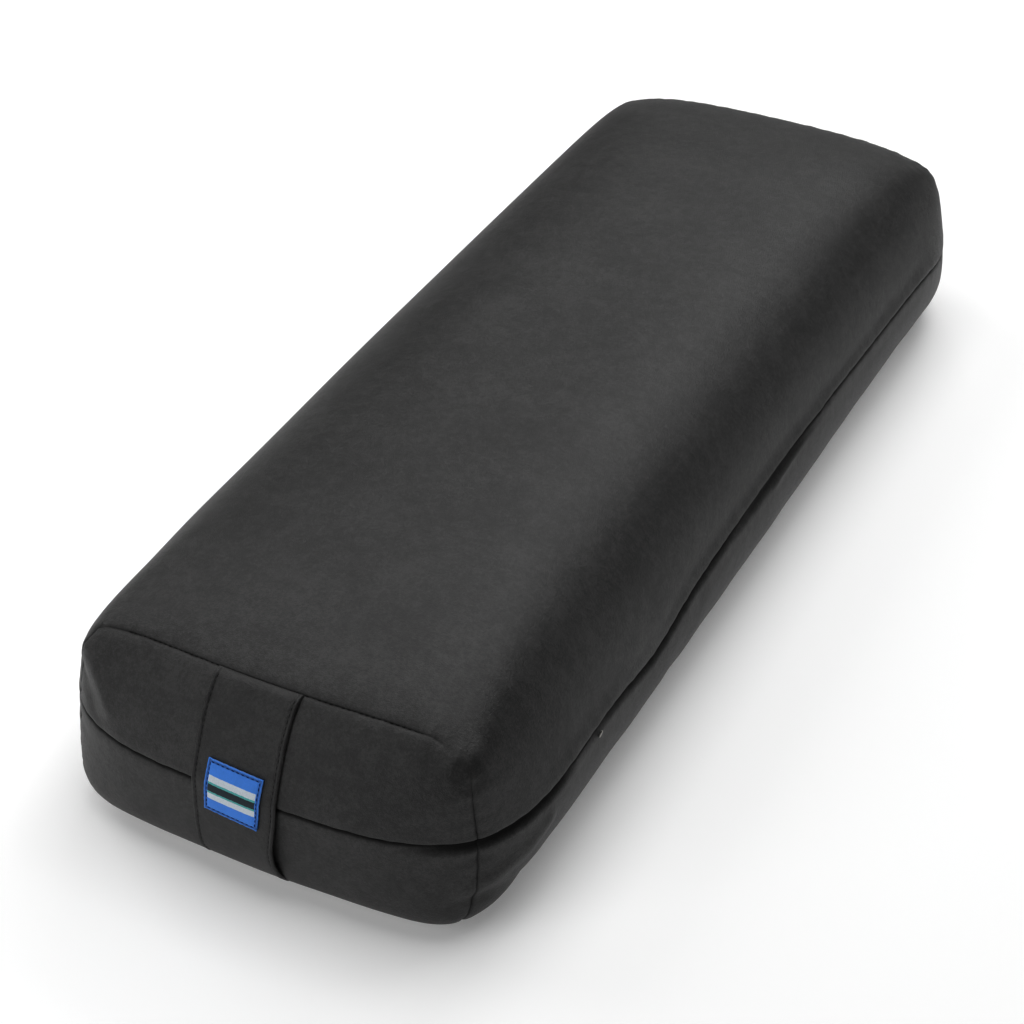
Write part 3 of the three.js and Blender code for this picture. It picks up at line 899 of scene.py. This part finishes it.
def buildStrap():
    s = strap
    across = edgedPlaces(s["width"], s["rounding"], s["columns"])
    hemPlaces = s["width"] / 2 - s["hem"] + np.array([-0.9, -0.45, 0, 0.45, 0.9])  # for the hem's groove
    across = np.unique(np.concatenate([across, hemPlaces, -hemPlaces]))
    length = strapSurface(np.array([0, 0.5, 1]), across)[2]
    along = edgedPlaces(length, s["rounding"], s["rows"])
    shares = along / length + 0.5
    middle, normals, length = strapSurface(shares, across)
    half = roundedHalf(across[None], along[:, None], (s["width"], length), s["thickness"], s["rounding"])
    fromEdge = s["width"] / 2 - np.abs(across)[None]
    groove = s["hemGroove"] * np.exp(-((fromEdge - s["hem"]) / s["hemWidth"]) ** 2)
    bead = s["bead"] * np.exp(-((fromEdge - s["beadPlace"]) / s["beadWidth"]) ** 2)
    ripples = (s["wave"] * ripple(along[:, None], (9, 14, 23), 21)
               * np.exp(-fromEdge / s["waveFade"]))
    half = half * (1 + (bead - groove) / s["thickness"] * 2)
    middle = middle + normals * (ripples * np.minimum(half, 1))[..., None]
    loops, weave = sheetLoops(middle, normals, half)
    piece = meshFromLoops("strap_webbing", loops, strapMaterial, weave)
    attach(piece, "root")
    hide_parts("handle_strap")
    lines = []
    for side in (-1, 1):
        place = side * (s["width"] / 2 - s["hem"])
        spots = np.linspace(0.03, 0.97, 120)
        surface, out, _ = strapSurface(spots, np.array([place - 0.01, place, place + 0.01]))
        line = surface[:, 1] + out[:, 1] * (s["thickness"] / 2 - s["hemGroove"] + s["stitchProud"])
        lines.append(stitchLoops(line, out[:, 1], s["stitchPitch"], s["stitchLength"], s["stitchThickness"]))
    thread = meshFromLoops("strap_stitches", np.concatenate(lines), seamThread)
    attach(thread, "root")
    length * mm


# woven label

label = dict(
    width=29.4, height=26.8, thickness=1.0, rounding=0.5, middle=0.481, clear=0.15,
    turn=0.052,  # clockwise, in radians
    hem=1.5, hemGroove=0.3, hemWidth=0.5, puff=0.35, puffOver=5, fray=0.12, frayFade=0.8,
    rows=50, columns=54,
    stitchPitch=2.4, stitchLength=1.9, stitchThickness=0.62, stitchSunk=0.2,
    band=12.2,  # half the length of its woven stripes
)
tagMaterial = tagCloth("tagCloth", (label["width"], label["height"]), label["hem"], label["band"])
strapLength = strapSurface(np.array([0, 0.5, 1]), np.array([-1.0, 0, 1.0]))[2]


# The label's middle surface, on the strap's: it is slightly turned, so a point slides by the surface's
# slope times how far the turn moves it
def labelSurface(across, along):
    s, tag = strap, label
    shares = tag["middle"] - along / strapLength
    surface, normals, _ = strapSurface(shares, across)
    slideAcross = np.gradient(surface, across, axis=1) * (tag["turn"] * along)[:, None, None]
    slideAlong = np.gradient(surface, along, axis=0) * (tag["turn"] * across)[None, :, None]
    surface = surface + slideAcross - slideAlong
    offset = s["thickness"] / 2 + tag["clear"] + tag["thickness"] / 2
    return surface + normals * offset, normals


def buildLabel():
    tag = label
    across = edgedPlaces(tag["width"], tag["rounding"], tag["columns"])
    along = edgedPlaces(tag["height"], tag["rounding"], tag["rows"])
    middle, normals = labelSurface(across, along)
    size = np.array([tag["width"], tag["height"]])
    half = roundedHalf(across[None], along[:, None], size, tag["thickness"], tag["rounding"])
    fromEdge = np.minimum(size[0] / 2 - np.abs(across)[None], size[1] / 2 - np.abs(along)[:, None])
    sunk = tag["hemGroove"] * np.exp(-((fromEdge - tag["hem"]) / tag["hemWidth"]) ** 2)
    puffed = tag["puff"] * np.clip((fromEdge - tag["hem"]) / tag["puffOver"], 0, 1) ** 0.5
    frayed = (tag["fray"] * ripple(across[None] + along[:, None], (2.9, 4.7), 31)
              * np.exp(-fromEdge / tag["frayFade"]))
    raised = (puffed - sunk) * np.clip(fromEdge / tag["rounding"], 0, 1) + frayed
    middle = middle + normals * raised[..., None]
    loops, weave = sheetLoops(middle, normals, half)
    weave = weave * (size / weave.max(axis=(0, 1, 2)))  # the turn and the puff stretch it a little
    piece = meshFromLoops("woven_label", loops, tagMaterial, weave)
    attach(piece, "root")
    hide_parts("label")
    x, y = size / 2 - tag["hem"]
    surface, out = labelSurface(np.linspace(-x, x, 121), np.linspace(-y, y, 121))
    surface = surface + out * (tag["thickness"] / 2 - tag["stitchSunk"])
    borders = (np.s_[0], np.s_[-1], np.s_[:, 0], np.s_[:, -1])
    rounds = [stitchLoops(surface[border], out[border], tag["stitchPitch"], tag["stitchLength"],
                          tag["stitchThickness"]) for border in borders]
    thread = meshFromLoops("label_stitches", np.concatenate(rounds), tagThread)
    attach(thread, "root")


# zip pull

pull = dict(wire=0.42, halfWidth=0.95, halfLength=1.95, narrowing=0.35, inset=0.6, standOff=0.9, rows=40,
            columns=12)


# A drop of wire, hanging under the zip's lip: round sections along the loop
# (w sin(turn) (1 - n cos(turn)), l cos(turn)), which is narrower at its top
def buildPull():
    s = pull
    low, high = (np.array(corner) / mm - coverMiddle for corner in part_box("zip_pull"))
    top = np.array([high[0] - s["inset"], (low[1] + high[1]) / 2, high[2]])
    bottom = np.array([low[0] + s["inset"], (low[1] + high[1]) / 2, low[2]])
    down, across = unit(bottom - top), np.array([0.0, 1, 0])
    out = np.cross(across, down)
    turn = np.linspace(0, 2 * np.pi, s["rows"] + 1)
    side = s["halfWidth"] * np.sin(turn) * (1 - s["narrowing"] * np.cos(turn))
    centre = (top + bottom) / 2 + np.array([s["standOff"], 0, 0])
    path = centre + across * side[:, None] - down * (s["halfLength"] * np.cos(turn))[:, None]
    path[-1] = path[0]
    tangent = unit(np.roll(path[:-1], -1, axis=0) - np.roll(path[:-1], 1, axis=0))
    tangent = np.concatenate([tangent, tangent[:1]])
    around = np.linspace(0, 2 * np.pi, s["columns"], endpoint=False)[None, :, None]
    section = out * np.cos(around) + np.cross(tangent, out)[:, None] * np.sin(around)
    loops = path[:, None] + s["wire"] * section
    piece = meshFromLoops("zip_pull_wire", loops[None], pullSteel)
    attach(piece, "root")
    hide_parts("zip_pull")


for stage, build in dict(bolster=buildBolster, strap=buildStrap, label=buildLabel, pull=buildPull).items():
    build()
    print(stage, "ready")
